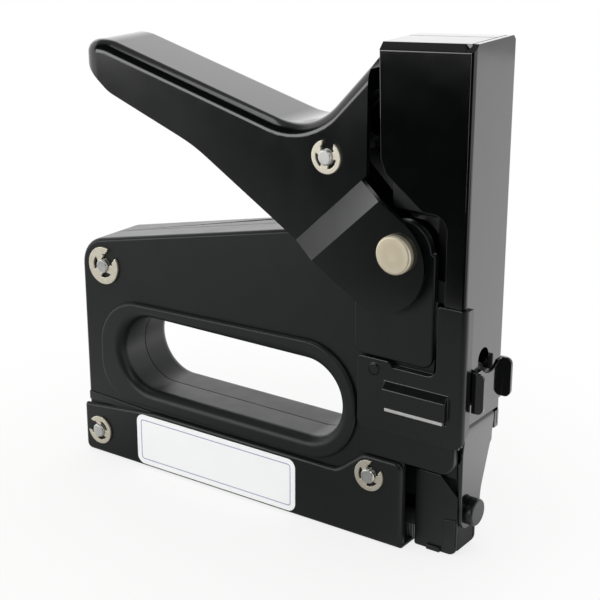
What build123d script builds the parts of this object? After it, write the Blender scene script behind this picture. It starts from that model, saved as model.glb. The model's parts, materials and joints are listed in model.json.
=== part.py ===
from build123d import *
import math
import os

# Spring-driven staple tacker. Millimetres; X to the nose, Z up, Y across, Z = 0 is the face it rests on.
# Widths are half widths, counted from the mid-plane; places are X and Z.

# Clearances
fit_gap = 0.1
run_gap = 0.05
move_gap = 0.3
cut_past = 1.0

# Sheet and wall thicknesses
shell_wall = 1.6
panel_rise = 1.2
channel_sheet = 1.2
cover_sheet = 1.5
nose_sheet = 1.2
handle_sheet = 1.8
guide_sheet = 1.5
gate_sheet = 1.2
latch_sheet = 1.2

# Half widths
body_half = 11.8
case_half = body_half + panel_rise
channel_inner = body_half + fit_gap
channel_half = channel_inner + channel_sheet
nose_half = case_half + nose_sheet
handle_gap = 0.5
handle_inner = body_half + handle_gap
handle_half = handle_inner + handle_sheet
arm_offset = 2.7
arm_inner = handle_inner + arm_offset
arm_half = arm_inner + handle_sheet
guide_half = case_half - cover_sheet - fit_gap
guide_inner = guide_half - guide_sheet
seam = 0.05

# Lower channel
channel_rear = -70.5
channel_front = 70.6
channel_rear_top = 19.2
channel_top = 22.9
channel_rise_start = 45.0
channel_rise_end = 55.5
channel_tab_top = 31.3
channel_tab_round = 3.0
channel_bend = 1.6
channel_corner = 2.5
channel_step_round = 6.0
channel_crown_x = -35.0
channel_crown_round = 40.0

# Body shells
body_rear = -69.0
body_rear_top = 83.4
body_slope = 11.7
body_corner = 11.0
body_edge = 1.5
body_roof_end = 24.0
rear_wall_bottom = 24.0
panel_rear = 51.3
panel_front = 80.5
panel_bottom = 66.3
panel_corner = 4.0
panel_edge = 0.7
lower_plate_rear = 53.5
lower_plate_front = 89.5
lower_plate_corner = 5.0
strip_bottom = 42.3
wall_front = 83.8
lug_radius = 10.0

# Hand opening and its ring
opening_rear_center = -36.1
opening_front_center = 31.8
opening_z = 45.1
opening_radius = 14.0
ring_wall = 2.6
ring_proud = 1.6
ring_round = 1.2
ring_lip = 3.6
ring_corners = [(-60.4, 24.6, 14.0), (52.2, 23.6, 20.0), (52.2, 67.0, 20.0), (-60.4, 63.6, 19.0)]

# Pivot and handle
pivot_x = 69.0
pivot_z = 103.5
pivot_radius = 4.0
pivot_head_radius = 6.3
pivot_head_height = 2.5
pivot_head_round = 0.8
arm_angle = 31.5
arm_radius = 16.5
arm_back = 6.7
arm_down = 3.9
joggle_angle = 43.2
joggle_start_x = 29.1
joggle_run = 9.07
grip_rear = -64.0
grip_front = 55.8
grip_plan_corner = 9.0
grip_edge = 4.4
# least upright share of a roof face's normal
upward_least = 0.5
roof_rear = (-53.5, 158.2, 20.0)
roof_saddle = (32.7, 135.3, 24.0)
roof_front = (58.0, 162.6, 0)
tip_top = (grip_rear, 156.4, 0)
tip_low = (grip_rear, 151.0, 0)
tip_under = (-50.5, 140.3, 14.0)
grip_bend = (-13.0, 60.0)
roof_front_lip = 4.0

# Pins and E-clips
pin_radius = 2.6
groove_depth = 0.5
clip_sheet = 1.0
clip_radius = 5.5
large_clip_radius = 7.0
pin_stand = 0.9
pin_chamfer = 0.4
clip_ring_share = 0.42
clip_tooth_share = 0.9
clip_tooth_width = 0.5
clip_tooth_angles = (65, 180, 295)
rear_upper_turn = 50
rear_lower_turn = 165
front_lower_turn = 55
handle_clip_turn = 80
pivot_clip_turn = 90
rear_upper = (-57.9, 75.5)
rear_lower = (-62.3, 9.7)
front_lower = (58.3, 24.2)
handle_pin_place = (41.2, 129.8)

# Tower cover, guide and spring
tower_rear = 58.9
tower_front = 91.6
tower_rear_top = 164.7
tower_front_top = 166.8
tower_edge = 1.3
crown_rise = 2.3
crown_notch_front = 90.0
crown_notch_run = 3.4
crown_notch_depth = 2.4
lap_y = 4.0
lap_width = 0.5
lap_depth = 0.3
lip_inset = 2.4
front_wall_bottom = 48.4
notch_lean = 1.2
notch_step = 3.1
notch_run = 8.5
notch_high = 131.5
notch_low = 127.0
notch_foot = 116.7
notch_round = 2.5
strip_round = 5.0
guide_depth = 24.5
guide_bottom = 50.0
guide_window_bottom = 116.5
guide_cap_gap = 2.5
guide_corner = 2.0
cap_height = 2.5
spring_setback = 10.5
spring_wire = 2.4
spring_gap = 1.1
spring_pitch = 4.3
spring_end_pitch = 2.95
seat_boss_height = 3.0

# Plunger, blade, lifter and bumper
plunger_gap = 0.4
plunger_top = 121.0
plunger_flange = 6.0
plunger_bottom = 96.0
stem_depth = 7.3
flange_depth = 17.6
blade_gap = 0.7
blade_sheet = 1.0
blade_tip = 1.5
blade_top = 114.0
lifter_half = 4.0
lifter_hub = 8.5
lifter_pin_boss = 6.5
lifter_arm = 5.0
lifter_bar = 2.2
lifter_nose = 3.0
lifter_reach = 14.0
lifter_drop = 3.0
bumper_height = 7.0
bumper_gap = 1.0

# Nose plates
nose_rear = 53.5
nose_bottom = 41.0
nose_top = 66.3
nose_dip = 64.6
nose_dip_rear = 67.0
nose_strip_rear = 82.5
plain_plate_front = 89.0
nose_strip_top = 88.3
nose_bend = 1.8
nose_rear_round = 3.0
nose_front_lift = 1.0
nose_strip_corner = 1.0
nose_strip_round = 3.0
nose_dip_run = 2.0
nose_dip_round = 0.8
nose_corner = 1.5
flange_width = 4.4
flange_bottom = 42.0
flange_corner = 5.0
louvre_rear = 64.0
louvre_front = 87.2
louvre_top = 59.5
louvre_face_top = 57.4
louvre_bottom = 50.9
louvre_proud = 2.0
bar_height = 1.4
bar_proud = 1.2
bar_rear_inset = 0.7
bar_front_inset = 1.2
dimple_place = (60.0, 62.7)
dimple_radius = 1.9
dimple_depth = 0.4

# Front latch
latch_bottom = 53.8
latch_top = 67.2
latch_half = 9.7
latch_reach = 4.2
latch_round = 2.2
latch_arch = 2.4
stud_z = 62.5
stud_radius = 3.1
stud_head_radius = 4.4
stud_head_height = 1.1
latch_travel = 6.0
slot_top = 72.5

# Front gate
gate_hinge_gap = 0.3
gate_hinge_z = 46.4
gate_pin_radius = 0.8
gate_knuckle = 1.7
gate_half = 6.2
gate_side_gap = 0.6
gate_taper_low = 18.0
gate_taper_high = 38.5
gate_taper_round = 6.0
gate_knee_z = 21.0
gate_bottom = 9.5
gate_corner = 4.0
gate_lean = 0.9
gate_knee_round = 8.0
knob_z = 14.7
knob_radius = 4.6
knob_height = 2.8
knob_round = 0.7

# Magazine
nose_block_length = 16.0
nose_block_lap = 0.2
nose_wall = 1.05
neck_length = 10.0
neck_half = 5.0
neck_top = 46.0
nose_block_top = 27.9
nose_chamfer = 6.5
nose_foot = 3.0
nose_heel = 1.0
tail_rear = 53.0
tail_bottom = 17.0
tail_top = 27.0
tail_half = 5.0
rail_half = 4.4
rail_sheet = 1.0
rail_top = 5.6
rail_rear = -69.4
rail_blade_gap = 0.5
staple_wire = 0.65
staple_gap = 0.1
strip_rear = 46.0
pusher_length = 12.0
pusher_travel = 50.0
pusher_sheet = 0.7
rod_radius = 0.7
rod_z = 3.0
tongue_half = 1.2
tongue_inset = 1.0
slot_spare = 2.0
push_wire = 0.45
push_mean_radius = 1.3
push_turns = 24

# Derived places
floor_z = channel_sheet + fit_gap
lower_plate_bottom = channel_tab_top + move_gap
nose_front = tower_front + nose_sheet
cover_inner_front = tower_front - cover_sheet
guide_front = cover_inner_front - fit_gap
web_rear = guide_front - guide_sheet
guide_rear = web_rear - guide_depth
spring_x = web_rear - spring_setback
blade_front = web_rear - blade_gap
blade_rear = blade_front - blade_sheet
stem_rear = blade_rear - stem_depth
flange_rear = blade_rear - flange_depth
rail_front = blade_rear - rail_blade_gap
plunger_half = guide_inner - plunger_gap
spring_mean_radius = guide_inner - spring_gap - spring_wire / 2
tower_strip_rear = wall_front + move_gap
flange_inner = nose_half - flange_width
gate_hinge_x = cover_inner_front - gate_hinge_gap
gate_shoulder = body_half - shell_wall - gate_side_gap
nose_block_front = blade_front + nose_block_lap
nose_block_rear = nose_block_front - nose_block_length
arm_center = (pivot_x - arm_back, pivot_z - arm_down)
lifter_tip = (pivot_x + lifter_reach, pivot_z - lifter_drop)
gate_inner = nose_block_front + move_gap
gate_outer = gate_inner + gate_sheet
staple_inner = rail_half + staple_gap
staple_half = staple_inner + staple_wire
staple_top = rail_top + staple_gap + staple_wire
pusher_inner_top = rail_top + move_gap
pusher_top = pusher_inner_top + pusher_sheet
blade_half = staple_half
tunnel_half = staple_half + move_gap
nose_block_half = tunnel_half + nose_wall
tunnel_top = pusher_top + move_gap
latch_rear = nose_front + move_gap
louvre_inset = nose_sheet / 2


# Height of the tower's inner roof.
def roof_inner(x):
    share = (x - tower_rear) / (cover_inner_front - tower_rear)
    return tower_rear_top - cover_sheet + share * (tower_front_top - tower_rear_top)


# Spring seat and what hangs from it, below the lower end of the inner roof.
cap_bottom = min(roof_inner(guide_rear), roof_inner(guide_front)) - fit_gap - cap_height
guide_top = cap_bottom - guide_cap_gap
spring_low = plunger_top + spring_wire / 2 + run_gap
spring_high = cap_bottom - spring_wire / 2 - run_gap
spring_turns = 2 + int((spring_high - spring_low - 2 * spring_end_pitch) / spring_pitch)


# Closed face from corners given as x, z and corner radius.
def outline(corners):
    points = [(x, z) for x, z, radius in corners]
    radii = [radius for x, z, radius in corners]
    return make_face(FilletPolyline(*points, radius=radii, close=True))


# Axis-aligned rectangle between two corners.
def box_face(x0, z0, x1, z1):
    return outline([(x0, z0, 0), (x1, z0, 0), (x1, z1, 0), (x0, z1, 0)])


# Solid of an X-Z face between two Y planes.
def slab(face, y0, y1):
    return extrude(Plane.XZ.offset(-y0) * face, amount=y1 - y0, dir=(0, 1, 0))


# The same on one side of the mid-plane, side being -1 or 1.
def side_slab(face, inner, outer, side):
    return slab(face, min(side * inner, side * outer), max(side * inner, side * outer))


# Round bar along Y.
def bar_y(place, radius, y0, y1):
    return slab(Pos(*place) * Circle(radius), y0, y1)


# Round bar along X on the mid-plane.
def bar_x(x0, x1, z, radius):
    return Pos((x0 + x1) / 2, 0, z) * Rot(0, 90, 0) * Cylinder(radius, x1 - x0)


# Edges of a solid that lie in the plane Y = level.
def edges_at_y(solid, level):
    return solid.edges().filter_by_position(Axis.Y, level - run_gap, level + run_gap)


# Upright edges of a solid that lie at X = place.
def upright_edges_at_x(solid, place):
    return solid.edges().filter_by(Axis.Z).filter_by_position(Axis.X, place - run_gap, place + run_gap)


# Full-round slot between two points, as a face.
def obround(start, end, radius):
    run = math.hypot(end[0] - start[0], end[1] - start[1])
    angle = math.degrees(math.atan2(end[1] - start[1], end[0] - start[0]))
    middle = Pos((start[0] + end[0]) / 2, (start[1] + end[1]) / 2)
    ends = Pos(*start) * Circle(radius) + Pos(*end) * Circle(radius)
    return ends + middle * Rot(0, 0, angle) * Rectangle(run, 2 * radius)


# Height of the body's sloping top edge.
def body_top(x):
    return body_rear_top + (x - body_rear) * math.tan(math.radians(body_slope))


# Height of the handle's straight underside, which is also the arm's lower edge.
def underside(x):
    turn = math.radians(arm_angle)
    foot_x = arm_center[0] - arm_radius * math.sin(turn)
    foot_z = arm_center[1] - arm_radius * math.cos(turn)
    return foot_z - (x - foot_x) * math.tan(turn)


def hand_opening(extra):
    start = (opening_rear_center, opening_z)
    end = (opening_front_center, opening_z)
    return obround(start, end, opening_radius + extra)


def body_outline():
    return outline([
        (body_rear, floor_z, 0),
        (channel_front, floor_z, 0),
        (channel_front, lower_plate_bottom, 0),
        (lower_plate_front, lower_plate_bottom, lower_plate_corner),
        (lower_plate_front, strip_bottom - move_gap, 0),
        (wall_front, strip_bottom - move_gap, 0),
        (wall_front, nose_dip, 0),
        (panel_front, nose_dip, 0),
        (panel_front, pivot_z, 0),
        (panel_front - lug_radius, body_top(panel_rear), lug_radius / 2),
        (panel_rear, body_top(panel_rear), 0),
        (body_rear, body_rear_top, body_corner),
    ])


def front_panel():
    sheet = outline([
        (panel_rear, panel_bottom, panel_corner),
        (panel_front, panel_bottom, panel_corner),
        (panel_front, pivot_z, 0),
        (panel_front - lug_radius, body_top(panel_rear), lug_radius / 2),
        (panel_rear, body_top(panel_rear), 0),
    ])
    return sheet + Pos(pivot_x, pivot_z) * Circle(lug_radius)


def lower_plate():
    return outline([
        (lower_plate_rear, lower_plate_bottom, 0),
        (lower_plate_front, lower_plate_bottom, lower_plate_corner),
        (lower_plate_front, strip_bottom - move_gap, 0),
        (wall_front, strip_bottom - move_gap, 0),
        (wall_front, nose_dip, 0),
        (lower_plate_rear, nose_dip, 0),
    ])


# One pressed side of the body: a side wall, a rim at the top and rear, and the raised front panel.
def body_shell(side):
    shell_face = body_outline() + Pos(pivot_x, pivot_z) * Circle(lug_radius)
    block = side_slab(shell_face, seam, body_half, side)
    rim_edges = [edge for edge in edges_at_y(block, side * body_half) if on_rim(edge)]
    block = fillet(rim_edges, body_edge)
    cavity = offset(body_outline(), -shell_wall)
    inner = body_half - shell_wall
    shell = block - side_slab(cavity, 0, inner, side)
    front_room = box_face(body_roof_end, 0, lower_plate_front + cut_past, pivot_z + 2 * lug_radius)
    low_room = box_face(body_rear - cut_past, 0, lower_plate_front + cut_past, rear_wall_bottom)
    shell -= side_slab(front_room + low_room, 0, inner, side)
    for face in (front_panel(), lower_plate()):
        plate = side_slab(face, body_half, case_half, side)
        shell += fillet(edges_at_y(plate, side * case_half), panel_edge)
    shell -= side_slab(hand_opening(ring_wall + fit_gap), 0, case_half, side)
    for place, radius in shell_holes():
        shell -= side_slab(Pos(*place) * Circle(radius + run_gap), 0, case_half + cut_past, side)
    return shell


def on_rim(edge):
    middle = edge.center()
    at_rear = middle.X < body_rear + body_corner
    at_top = middle.Z > body_top(middle.X) - shell_wall and middle.X < panel_rear
    return at_rear and middle.Z > channel_top or at_top


def shell_holes():
    pins = [(place, pin_radius) for place in (rear_upper, rear_lower, front_lower)]
    return pins + [((pivot_x, pivot_z), pivot_radius)]


# Half of the moulding that lines the hand opening, split at the mid-plane.
def hand_ring(side):
    face_y = body_half + ring_proud
    flange = side_slab(outline(ring_corners), body_half, face_y, side)
    flange = fillet(edges_at_y(flange, side * face_y), ring_round)
    ring = flange + side_slab(hand_opening(ring_wall), seam, body_half, side)
    ring -= side_slab(hand_opening(0), 0, face_y + cut_past, side)
    lip = [edge for edge in edges_at_y(ring, side * face_y) if opening_edge(edge)]
    return fillet(lip, ring_lip)


def opening_edge(edge):
    middle = edge.center()
    reach = opening_radius + run_gap
    inside_x = opening_rear_center - reach < middle.X < opening_front_center + reach
    return inside_x and abs(middle.Z - opening_z) < reach


# Folded channel under the body; its front tabs rise beside the nose.
def lower_channel():
    side_face = outline([
        (channel_rear, 0, channel_corner),
        (channel_front, 0, 0),
        (channel_front, channel_tab_top, channel_tab_round),
        (channel_rise_end, channel_tab_top, channel_step_round),
        (channel_rise_start, channel_top, channel_step_round),
        (channel_crown_x, channel_top, channel_crown_round),
        (channel_rear, channel_rear_top, channel_bend),
    ])
    channel = slab(side_face, -channel_half, channel_half)
    bottom_edges = channel.edges().filter_by(Axis.X).filter_by_position(Axis.Z, -run_gap, run_gap)
    channel = fillet(bottom_edges, channel_bend)
    room = box_face(channel_rear - cut_past, channel_sheet,
                    channel_front + cut_past, channel_tab_top + cut_past)
    channel -= slab(room, -channel_inner, channel_inner)
    for place in (rear_lower, front_lower):
        channel -= bar_y(place, pin_radius + run_gap, -channel_half, channel_half)
    return channel


def tower_outline():
    return outline([
        (tower_rear, tower_rear_top + crown_rise, 0),
        (tower_rear + notch_lean, notch_high, notch_round),
        (tower_rear + notch_step, notch_low, notch_round),
        (tower_strip_rear - notch_run, notch_foot, notch_round),
        (tower_strip_rear, notch_foot, strip_round),
        (tower_strip_rear, strip_bottom, 0),
        (tower_front, strip_bottom, 0),
        (tower_front, tower_front_top + crown_rise, 0),
    ])


# Folded sheet over the spring: front, two sides and a bevelled top of doubled flaps, open to the rear.
def tower_cover():
    cover = slab(tower_outline(), -case_half, case_half)
    roof = cover.faces().sort_by(Axis.Z)[-1]
    cover = chamfer([edge for edge in roof.edges() if abs(edge.center().Y) > case_half - run_gap], crown_rise)
    cover = fillet(upright_edges_at_x(cover, tower_front), tower_edge)
    inner_face = outline([
        (tower_rear - cut_past, roof_inner(tower_rear - cut_past), 0),
        (tower_rear - cut_past, 0, 0),
        (cover_inner_front, 0, 0),
        (cover_inner_front, roof_inner(cover_inner_front), 0),
    ])
    cover -= slab(inner_face, -case_half + cover_sheet, case_half - cover_sheet)
    low_front = box_face(cover_inner_front - cut_past, 0, tower_front + cut_past, front_wall_bottom)
    cover -= slab(low_front, -case_half + cover_sheet, case_half - cover_sheet)
    cover -= crown_grooves()
    cover -= front_slot(stud_radius + move_gap)
    cover -= bar_y((gate_hinge_x, gate_hinge_z), gate_pin_radius + run_gap, -case_half, case_half)
    return cover


# Lines where the top flaps lap over each other, and the open corner between two of them.
def crown_grooves():
    front_z = tower_front_top + crown_rise
    rear_z = tower_rear_top + crown_rise
    lip_x = tower_front - lip_inset
    lap = outline([
        (tower_rear, rear_z - lap_depth, 0),
        (lip_x, front_z - lap_depth, 0),
        (lip_x, front_z + cut_past, 0),
        (tower_rear, rear_z + cut_past, 0),
    ])
    lip = box_face(lip_x, front_z - 2 * lap_depth, lip_x + lap_width, front_z + cut_past)
    corner = make_face(Polyline(
        (crown_notch_front - crown_notch_run, front_z),
        (crown_notch_front - crown_notch_run / 2, front_z - crown_notch_depth),
        (crown_notch_front, front_z),
        close=True,
    ))
    grooves = slab(lap, lap_y, lap_y + lap_width) + slab(lip, -case_half + crown_rise, case_half - crown_rise)
    return grooves + slab(corner, -case_half - cut_past, -case_half + crown_rise)


# Upright slot through the tower's front, long enough for the latch stud's travel.
def front_slot(radius):
    low = stud_z - latch_travel
    high = slot_top - radius
    face = obround((0, low), (0, high), radius)
    return extrude(Plane.YZ.offset(web_rear - cut_past) * face, amount=tower_front - web_rear + 2 * cut_past)


# U of sheet inside the tower that keeps the plunger straight.
def guide_frame():
    side_face = outline([
        (tower_strip_rear, guide_bottom, 0),
        (guide_front, guide_bottom, 0),
        (guide_front, guide_top, 0),
        (guide_rear, guide_top, guide_corner),
        (guide_rear, guide_window_bottom, guide_corner),
        (tower_strip_rear, guide_window_bottom, 0),
    ])
    guide = slab(side_face, -guide_half, guide_half)
    room = box_face(guide_rear - cut_past, 0, web_rear, guide_top + cut_past)
    guide -= slab(room, -guide_inner, guide_inner)
    return guide - front_slot(stud_head_radius + move_gap)


# Plate under the tower's top that takes the spring's thrust.
def spring_cap():
    face = box_face(guide_rear, cap_bottom, guide_front, cap_bottom + cap_height)
    plate = slab(face, -guide_half, guide_half)
    boss = Pos(spring_x, 0, cap_bottom - seat_boss_height / 2) * Cylinder(boss_radius(), seat_boss_height)
    return plate + boss


def boss_radius():
    return spring_mean_radius - spring_wire / 2 - move_gap


# Weight that the spring drives down, with a slot where the lifter's nose pushes up.
def plunger():
    flange_bottom = plunger_top - plunger_flange
    flange = slab(box_face(flange_rear, flange_bottom, blade_rear, plunger_top), -plunger_half, plunger_half)
    stem = slab(box_face(stem_rear, plunger_bottom, blade_rear, flange_bottom), -plunger_half, plunger_half)
    slot_top_z = lifter_tip[1] + lifter_nose + move_gap
    slot_half = lifter_half + move_gap
    slot_face = box_face(stem_rear - cut_past, plunger_bottom - cut_past, blade_rear, slot_top_z)
    slot = slab(slot_face, -slot_half, slot_half)
    boss = Pos(spring_x, 0, plunger_top + seat_boss_height / 2) * Cylinder(boss_radius(), seat_boss_height)
    return flange + stem + boss - slot


def driver_blade():
    return slab(box_face(blade_rear, blade_tip, blade_front, blade_top), -blade_half, blade_half)


def bumper():
    top = plunger_bottom - bumper_gap
    face = box_face(stem_rear, top - bumper_height, blade_rear - move_gap, top)
    return slab(face, -guide_inner + fit_gap, guide_inner - fit_gap)


# Points and unit tangents of a coil along Z, one each quarter turn, with closer turns at both ends.
def coil_nodes(radius, turns, length, end_pitch):
    middle_pitch = (length - 2 * end_pitch) / (turns - 2)
    heights = [0.0]
    for quarter in range(4 * turns):
        at_end = quarter < 4 or quarter >= 4 * turns - 4
        heights.append(heights[-1] + (end_pitch if at_end else middle_pitch) / 4)
    nodes = []
    for i, height in enumerate(heights):
        before = heights[max(i - 1, 0)]
        after = heights[min(i + 1, len(heights) - 1)]
        steps = min(i + 1, len(heights) - 1) - max(i - 1, 0)
        rise = (after - before) / steps / (math.pi / 2)
        angle = i * math.pi / 2
        point = Vector(radius * math.cos(angle), radius * math.sin(angle), height)
        tangent = Vector(-radius * math.sin(angle), radius * math.cos(angle), rise).normalized()
        nodes.append((point, tangent))
    return nodes


# Two arcs that leave one node and arrive at the next along their tangents.
def biarc(start, end):
    (p0, t0), (p1, t1) = start, end
    chord = p1 - p0
    tangents = t0 + t1
    a = 2 * t0.dot(t1) - 2
    b = -2 * chord.dot(tangents)
    c = chord.dot(chord)
    reach = (-b - math.sqrt(b * b - 4 * a * c)) / (2 * a)
    joint = (p0 + t0 * reach + p1 - t1 * reach) * 0.5
    middle = (p1 - t1 * reach - p0 - t0 * reach).normalized()
    return [TangentArc(p0, joint, tangent=t0), TangentArc(joint, p1, tangent=middle)]


# Wire wound along Z with a straight end of one wire diameter at each end.
def coil(radius, wire, turns, length, end_pitch):
    nodes = coil_nodes(radius, turns, length, end_pitch)
    first, first_way = nodes[0]
    last, last_way = nodes[-1]
    flat_first = Vector(first_way.X, first_way.Y, 0).normalized()
    flat_last = Vector(last_way.X, last_way.Y, 0).normalized()
    nodes[0] = (first, flat_first)
    nodes[-1] = (last, flat_last)
    edges = [Line(first - flat_first * wire, first)]
    for start, end in zip(nodes, nodes[1:]):
        edges += biarc(start, end)
    edges.append(Line(last, last + flat_last * wire))
    path = Wire(edges)
    section = Plane(path @ 0, z_dir=path % 0) * Circle(wire / 2)
    print("least gap between turns", round(least_gap(edges, wire, turns), 2))
    return sweep(section, path=path)


# Smallest space between stretches of the wire that lie more than half a turn apart.
def least_gap(edges, wire, turns):
    points = [edge @ (k / 3) for edge in edges[1:-1] for k in range(3)]
    apart = len(points) // (2 * turns) + 1
    reach = 3 * apart
    near = math.inf
    for i, point in enumerate(points):
        for other in points[i + apart:i + reach]:
            near = min(near, (point - other).length)
    return near - wire


def main_spring():
    length = spring_high - spring_low
    wound = coil(spring_mean_radius, spring_wire, spring_turns, length, spring_end_pitch)
    return Pos(spring_x, 0, spring_low) * wound


# Outline of a nose plate from its front's bottom corner; the right one also has a strip up the tower.
def nose_outline(front_edge):
    return outline(front_edge + [
        (nose_dip_rear, nose_dip, nose_dip_round),
        (nose_dip_rear - nose_dip_run, nose_top, nose_dip_round),
        (nose_rear, nose_top, nose_corner),
        (nose_rear, nose_bottom, nose_rear_round),
    ])


# Right nose plate before its louvre is pressed, bent round the tower's front.
def wrapped_plate(side):
    face = nose_outline([
        (nose_front, nose_bottom + nose_front_lift, 0),
        (nose_front, nose_strip_top, 0),
        (nose_strip_rear, nose_strip_top, nose_strip_corner),
        (nose_strip_rear, nose_dip, nose_strip_round),
    ])
    plate = side_slab(face, flange_inner, nose_half, side)
    bend = upright_edges_at_x(plate, nose_front).sort_by(Axis.Y)
    plate = fillet(bend[-1 if side > 0 else 0], nose_bend)
    behind = box_face(nose_rear - cut_past, 0, tower_front, nose_strip_top + cut_past)
    plate -= side_slab(behind, 0, case_half, side)
    return plate - flange_relief(side)


# Left nose plate before its louvre is pressed, flat and ending short of the tower's front.
def flat_plate(side):
    face = nose_outline([
        (plain_plate_front, nose_bottom + nose_front_lift, nose_corner),
        (plain_plate_front, nose_dip, nose_corner),
    ])
    return side_slab(face, case_half, nose_half, side)


# Side plate of the nose with a dimple and a pressed-out louvre.
def nose_plate(side):
    plate = wrapped_plate(side) if side < 0 else flat_plate(side)
    window = box_face(louvre_rear + louvre_inset, louvre_bottom - bar_height,
                      louvre_front - louvre_inset, louvre_top - louvre_inset)
    plate -= side_slab(window, case_half - cut_past, nose_half + cut_past, side)
    plate += louvre(side)
    dimple = Pos(*dimple_place) * Circle(dimple_radius)
    return plate + side_slab(dimple, nose_half, nose_half + dimple_depth, side)


# Rounded lower end of the front flange.
def flange_relief(side):
    inner = side * (flange_inner - cut_past)
    outer = side * (nose_half + cut_past)
    low = nose_bottom - cut_past
    face = outline([
        (inner, low, 0),
        (outer, low, 0),
        (outer, flange_bottom, 0),
        (side * (flange_inner + flange_corner), flange_bottom, 0),
        (side * flange_inner, flange_bottom + flange_corner, 0),
        (inner, flange_bottom + flange_corner, 0),
    ])
    return extrude(Plane.YZ.offset(tower_front) * face, amount=2 * nose_sheet)


# Pressed-out hood, closed above and at its ends and open below.
def louvre(side):
    outer = louvre_body(side, case_half, nose_half, louvre_bottom, 0)
    inner = louvre_body(side, case_half - nose_sheet, case_half, louvre_bottom - cut_past, louvre_inset)
    return outer - inner


# Solid with a sloping top between a back plane and a root plane, drawn in from the ends by an inset.
def louvre_body(side, back, root, low, inset):
    face = make_face(Polyline(
        (side * back, louvre_top - inset),
        (side * root, louvre_top - inset),
        (side * (root + louvre_proud), louvre_face_top - inset),
        (side * (root + louvre_proud), low),
        (side * back, low),
        close=True,
    ))
    length = louvre_front - louvre_rear - 2 * inset
    return extrude(Plane.YZ.offset(louvre_rear + inset) * face, amount=length)


# Bright bar that shows under the louvre.
def louvre_bar(side):
    face = box_face(louvre_rear + bar_rear_inset, louvre_bottom - bar_height,
                    louvre_front - bar_front_inset, louvre_bottom)
    return side_slab(face, case_half, nose_half + bar_proud, side)


# Clip with two ears that slides on the tower's front.
def front_latch():
    web_face = outline([
        (-latch_half, latch_bottom, latch_round),
        (latch_half, latch_bottom, latch_round),
        (latch_half, latch_top, latch_round),
        (-latch_half, latch_top, latch_round),
    ])
    arch_radius = latch_half - 2 * latch_sheet
    arch = Pos(0, latch_top + arch_radius - latch_arch) * Circle(arch_radius)
    web = extrude(Plane.YZ.offset(latch_rear) * (web_face - arch), amount=latch_sheet)
    ear_face = outline([
        (latch_rear, latch_bottom, 0),
        (latch_rear + latch_reach, latch_bottom, latch_round),
        (latch_rear + latch_reach, latch_top, latch_round),
        (latch_rear, latch_top, 0),
    ])
    ears = [side_slab(ear_face, latch_half - latch_sheet, latch_half, side) for side in (-1, 1)]
    return web + ears[0] + ears[1]


# Shouldered stud that holds the latch in its slot.
def latch_stud():
    head_front = cover_inner_front - move_gap
    shank = bar_x(head_front, latch_rear, stud_z, stud_radius)
    return shank + bar_x(head_front - stud_head_height, head_front, stud_z, stud_head_radius)


# Tapering plate that closes the driver's way at the nose, with a knuckle at its top.
def front_gate():
    profile = outline([
        (gate_hinge_x, gate_hinge_z + gate_knuckle / 2, 0),
        (gate_inner + gate_lean, gate_hinge_z - gate_knuckle, 0),
        (gate_inner, gate_knee_z, gate_knee_round),
        (gate_inner, gate_bottom, 0),
        (gate_outer, gate_bottom, 0),
        (gate_outer, gate_knee_z, gate_knee_round),
        (gate_hinge_x + gate_knuckle, gate_hinge_z - gate_knuckle, 0),
        (gate_hinge_x + gate_knuckle, gate_hinge_z, 0),
    ])
    gate = slab(profile, -gate_shoulder, gate_shoulder)
    gate_top = gate_hinge_z + 2 * gate_knuckle
    half_face = outline([
        (0, gate_bottom, 0),
        (gate_half, gate_bottom, gate_corner),
        (gate_half, gate_taper_low, gate_taper_round),
        (gate_shoulder, gate_taper_high, gate_taper_round),
        (gate_shoulder, gate_top, 0),
        (0, gate_top, 0),
    ])
    front_face = half_face + mirror(half_face, about=Plane.YZ)
    gate &= extrude(Plane.YZ.offset(gate_inner - gate_half) * front_face, amount=3 * gate_half)
    gate += bar_y((gate_hinge_x, gate_hinge_z), gate_knuckle, -gate_shoulder, gate_shoulder)
    return gate - bar_y((gate_hinge_x, gate_hinge_z), gate_pin_radius + run_gap, -case_half, case_half)


def gate_knob():
    knob = bar_x(gate_outer, gate_outer + knob_height, knob_z, knob_radius)
    rim = knob.edges().sort_by(Axis.X)[-1]
    return fillet(rim, knob_round)


def gate_hinge_pin():
    return bar_y((gate_hinge_x, gate_hinge_z), gate_pin_radius, -case_half, case_half)


# Block under the front that leads the staples to the driver, with a tail and a neck between the body shells.
def magazine_nose():
    face = outline([
        (nose_block_rear, 0, nose_heel),
        (nose_block_front, 0, nose_foot),
        (nose_block_front, nose_block_top - nose_chamfer, 0),
        (nose_block_front - nose_chamfer, nose_block_top, 0),
        (nose_block_rear, nose_block_top, 0),
    ])
    block = slab(face, -nose_block_half, nose_block_half)
    block += slab(box_face(tail_rear, tail_bottom, nose_block_rear, tail_top), -tail_half, tail_half)
    neck_front = blade_rear - move_gap
    neck = box_face(neck_front - neck_length, nose_block_top - cut_past, neck_front, neck_top)
    block += slab(neck, -neck_half, neck_half)
    tunnel = box_face(nose_block_rear - cut_past, floor_z, blade_rear, tunnel_top)
    block -= slab(tunnel, -tunnel_half, tunnel_half)
    blade_way = box_face(blade_rear - move_gap, -cut_past, nose_block_front + cut_past, nose_block_top)
    block -= slab(blade_way, -blade_half - move_gap, blade_half + move_gap)
    return block - bar_y(front_lower, pin_radius + run_gap, -tail_half, tail_half)


# Cross pin with a clip groove near each end.
def clip_pin(place, seat, radius):
    end = seat + clip_sheet + pin_stand
    pin = bar_y(place, radius, -end, end)
    pin = chamfer(pin.edges().filter_by(GeomType.CIRCLE), pin_chamfer)
    for side in (-1, 1):
        groove = Pos(*place) * (Circle(radius + cut_past) - Circle(radius - groove_depth))
        pin -= side_slab(groove, seat, seat + clip_sheet + 2 * run_gap, side)
    return pin


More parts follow.
